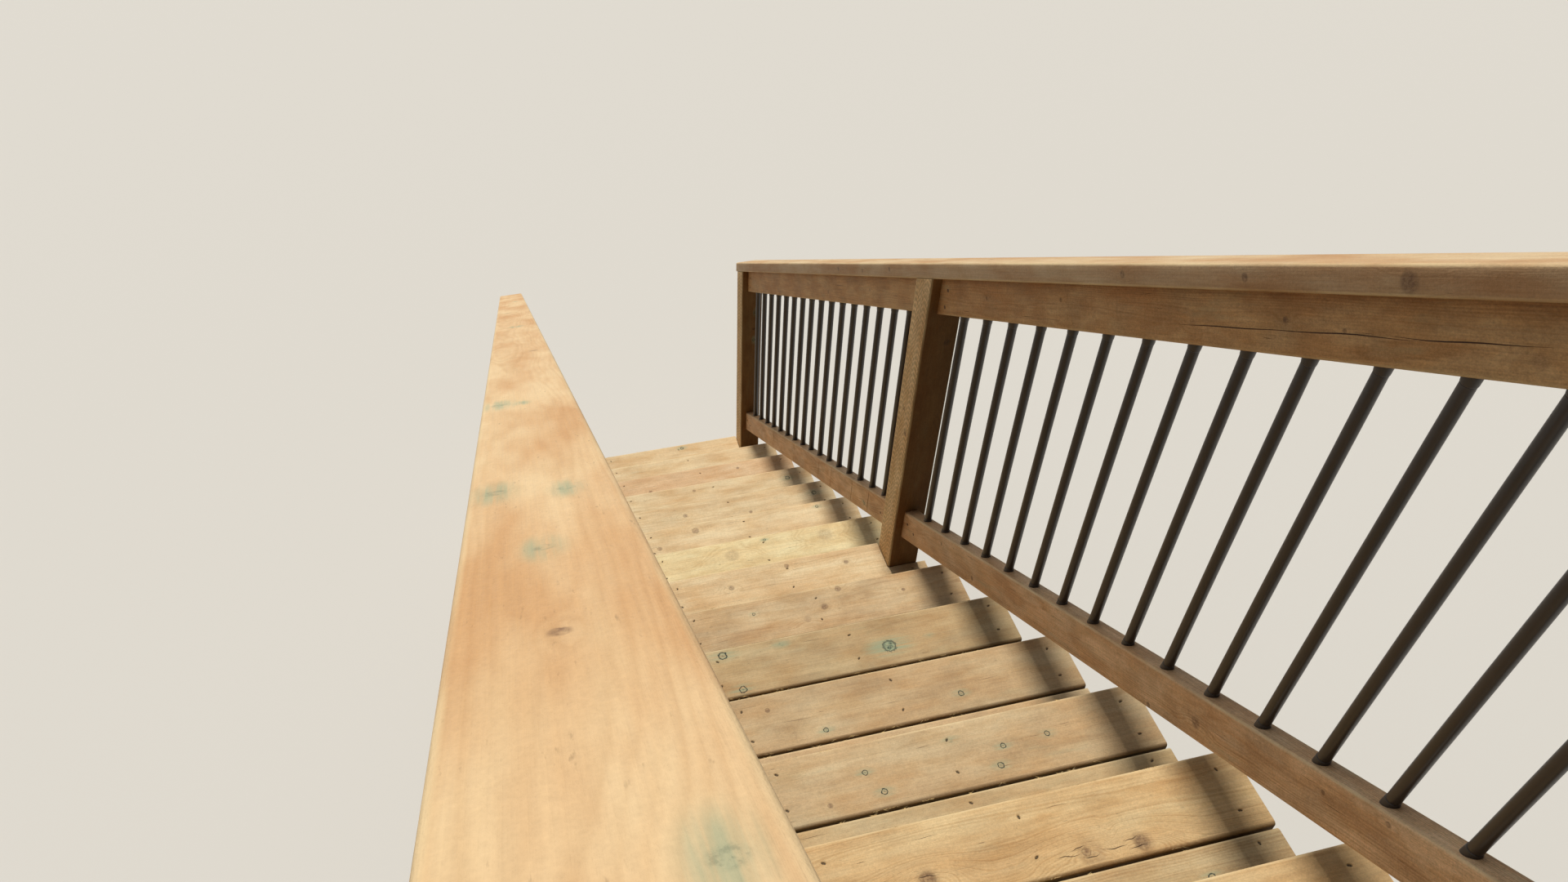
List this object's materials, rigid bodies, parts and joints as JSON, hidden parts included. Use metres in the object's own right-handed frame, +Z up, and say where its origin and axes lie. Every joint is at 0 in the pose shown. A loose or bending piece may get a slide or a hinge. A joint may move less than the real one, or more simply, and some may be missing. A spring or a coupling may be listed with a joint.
{
  "type": "deck stairs",
  "caption": "Straight wooden deck stair: saw-tooth stringers carry open treads, and posts let through the treads hold sloped rails, caps and round metal balusters.",
  "frame": {"origin": "centre of the hanger board's back face, which bears on the deck's edge", "axes": "+Y runs level from the foot of the flight into the deck, +Z is up, +X is to the right of a person who climbs; the treads' length lies along X"},
  "size_m": [1.142, 3.89, 3.9001],
  "materials": {
    "tread_wood": "pressure-treated softwood, planed, dull",
    "frame_wood": "pressure-treated softwood, planed, dull",
    "post_wood": "pressure-treated softwood with incised faces, dull",
    "cap_wood": "pressure-treated softwood, planed, dull",
    "rail_wood": "pressure-treated softwood, planed, dull",
    "baluster_metal": "dark powder coat, satin",
    "collar_plastic": "dark, matt"
  },
  "bodies": {
    "root": {"tread_01": "tread_wood", "tread_02": "tread_wood", "tread_03": "tread_wood", "tread_04": "tread_wood", "tread_05": "tread_wood", "tread_06": "tread_wood", "tread_07": "tread_wood", "tread_08": "tread_wood", "tread_09": "tread_wood", "tread_10": "tread_wood", "tread_11": "tread_wood", "tread_12": "tread_wood", "tread_13": "tread_wood", "tread_14": "tread_wood", "tread_15": "tread_wood", "stringer_left_outer": "frame_wood", "stringer_left_inner": "frame_wood", "stringer_right_inner": "frame_wood", "stringer_right_outer": "frame_wood", "hanger_board": "frame_wood", "post_left_bottom": "post_wood", "post_left_middle": "post_wood", "post_left_top": "post_wood", "post_right_bottom": "post_wood", "post_right_middle": "post_wood", "post_right_top": "post_wood", "cap_left": "cap_wood", "cap_right": "cap_wood", "upper_rail_left_lower": "rail_wood", "upper_rail_left_upper": "rail_wood", "upper_rail_right_lower": "rail_wood", "upper_rail_right_upper": "rail_wood", "bottom_rail_left_lower": "rail_wood", "bottom_rail_left_upper": "rail_wood", "bottom_rail_right_lower": "rail_wood", "bottom_rail_right_upper": "rail_wood", "balusters_left_lower": "baluster_metal", "balusters_left_upper": "baluster_metal", "balusters_right_lower": "baluster_metal", "balusters_right_upper": "baluster_metal", "collars_left_lower": "collar_plastic", "collars_left_upper": "collar_plastic", "collars_right_lower": "collar_plastic", "collars_right_upper": "collar_plastic"}
  },
  "joints": []
}
